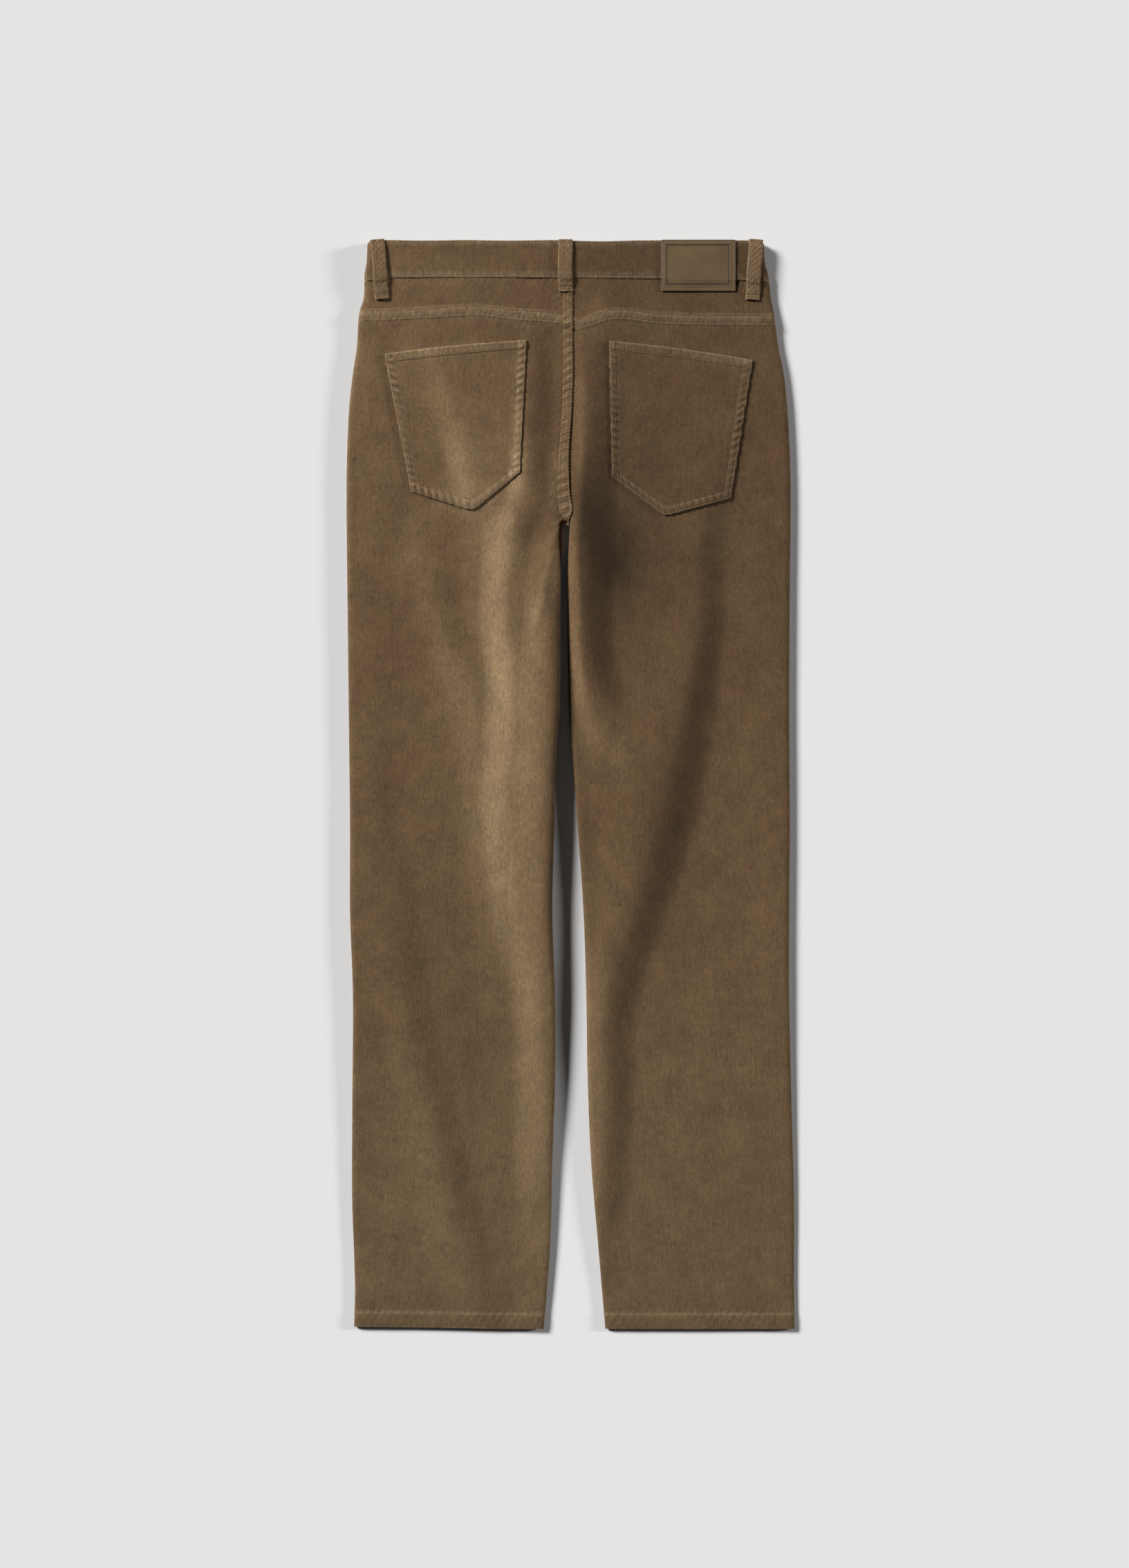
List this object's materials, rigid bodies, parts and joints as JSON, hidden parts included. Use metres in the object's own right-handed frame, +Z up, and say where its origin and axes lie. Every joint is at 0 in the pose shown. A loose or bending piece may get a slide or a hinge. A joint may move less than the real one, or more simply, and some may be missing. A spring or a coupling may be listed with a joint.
{
  "type": "corduroy trousers",
  "caption": "Straight-leg corduroy trousers laid flat on their front, with yoke, patch pockets, belt loops, label patch and waistband.",
  "frame": {"origin": "on the surface that the garment lies on, under the middle of its outline", "axes": "+Y runs from the hems to the waist, +Z is up from the surface, -X is the wearer's left"},
  "size_m": [0.4414, 1.0724, 0.0157],
  "materials": {
    "corduroy": "fine-wale cotton corduroy, soft sheen",
    "patch_leather": "matt, fine grain",
    "button_metal": "aged, satin"
  },
  "bodies": {
    "root": {"back_leg_left": "corduroy", "back_leg_right": "corduroy", "back_yoke_left": "corduroy", "back_yoke_right": "corduroy", "seat_seam": "corduroy", "front_leg_left": "corduroy", "front_leg_right": "corduroy", "hip_facing_left": "corduroy", "hip_facing_right": "corduroy", "waistband": "corduroy", "back_pocket_left": "corduroy", "back_pocket_right": "corduroy", "belt_loop_back_left": "corduroy", "belt_loop_back_centre": "corduroy", "belt_loop_back_right": "corduroy", "belt_loop_front_left": "corduroy", "belt_loop_front_right": "corduroy", "label_patch": "patch_leather", "waistband_button": "button_metal"}
  },
  "joints": []
}
